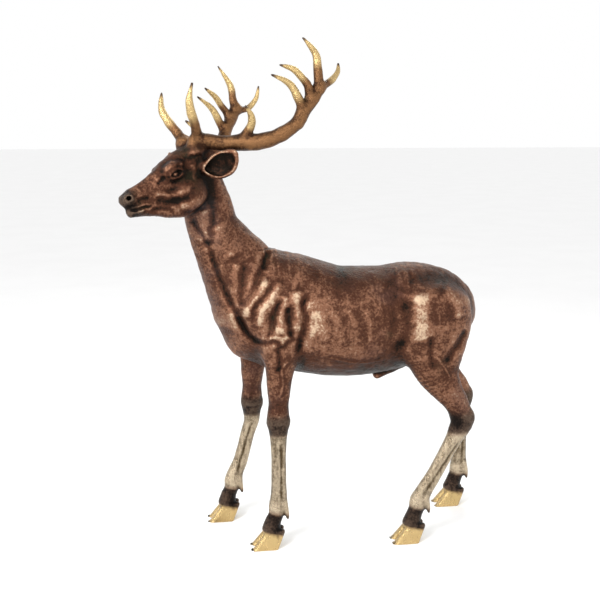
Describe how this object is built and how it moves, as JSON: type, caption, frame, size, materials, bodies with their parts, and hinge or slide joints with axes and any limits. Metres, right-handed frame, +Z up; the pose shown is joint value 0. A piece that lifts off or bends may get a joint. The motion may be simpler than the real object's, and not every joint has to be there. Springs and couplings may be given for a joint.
{
  "type": "bronze stag statue",
  "caption": "Life-size standing red deer stag in cast bronze, head turned to its left, with branched antlers, polished tines and cloven hooves.",
  "frame": {"origin": "on the ground under the centre of the statue's bounding box", "axes": "+Z up, -X the way the stag stands and walks, -Y its left side, the side the head turns to"},
  "size_m": [1.497, 0.703, 2.0159],
  "materials": {
    "bronze": "dark brown patina, polished gold tines and hooves"
  },
  "bodies": {
    "root": {"stag": "bronze"}
  },
  "joints": []
}
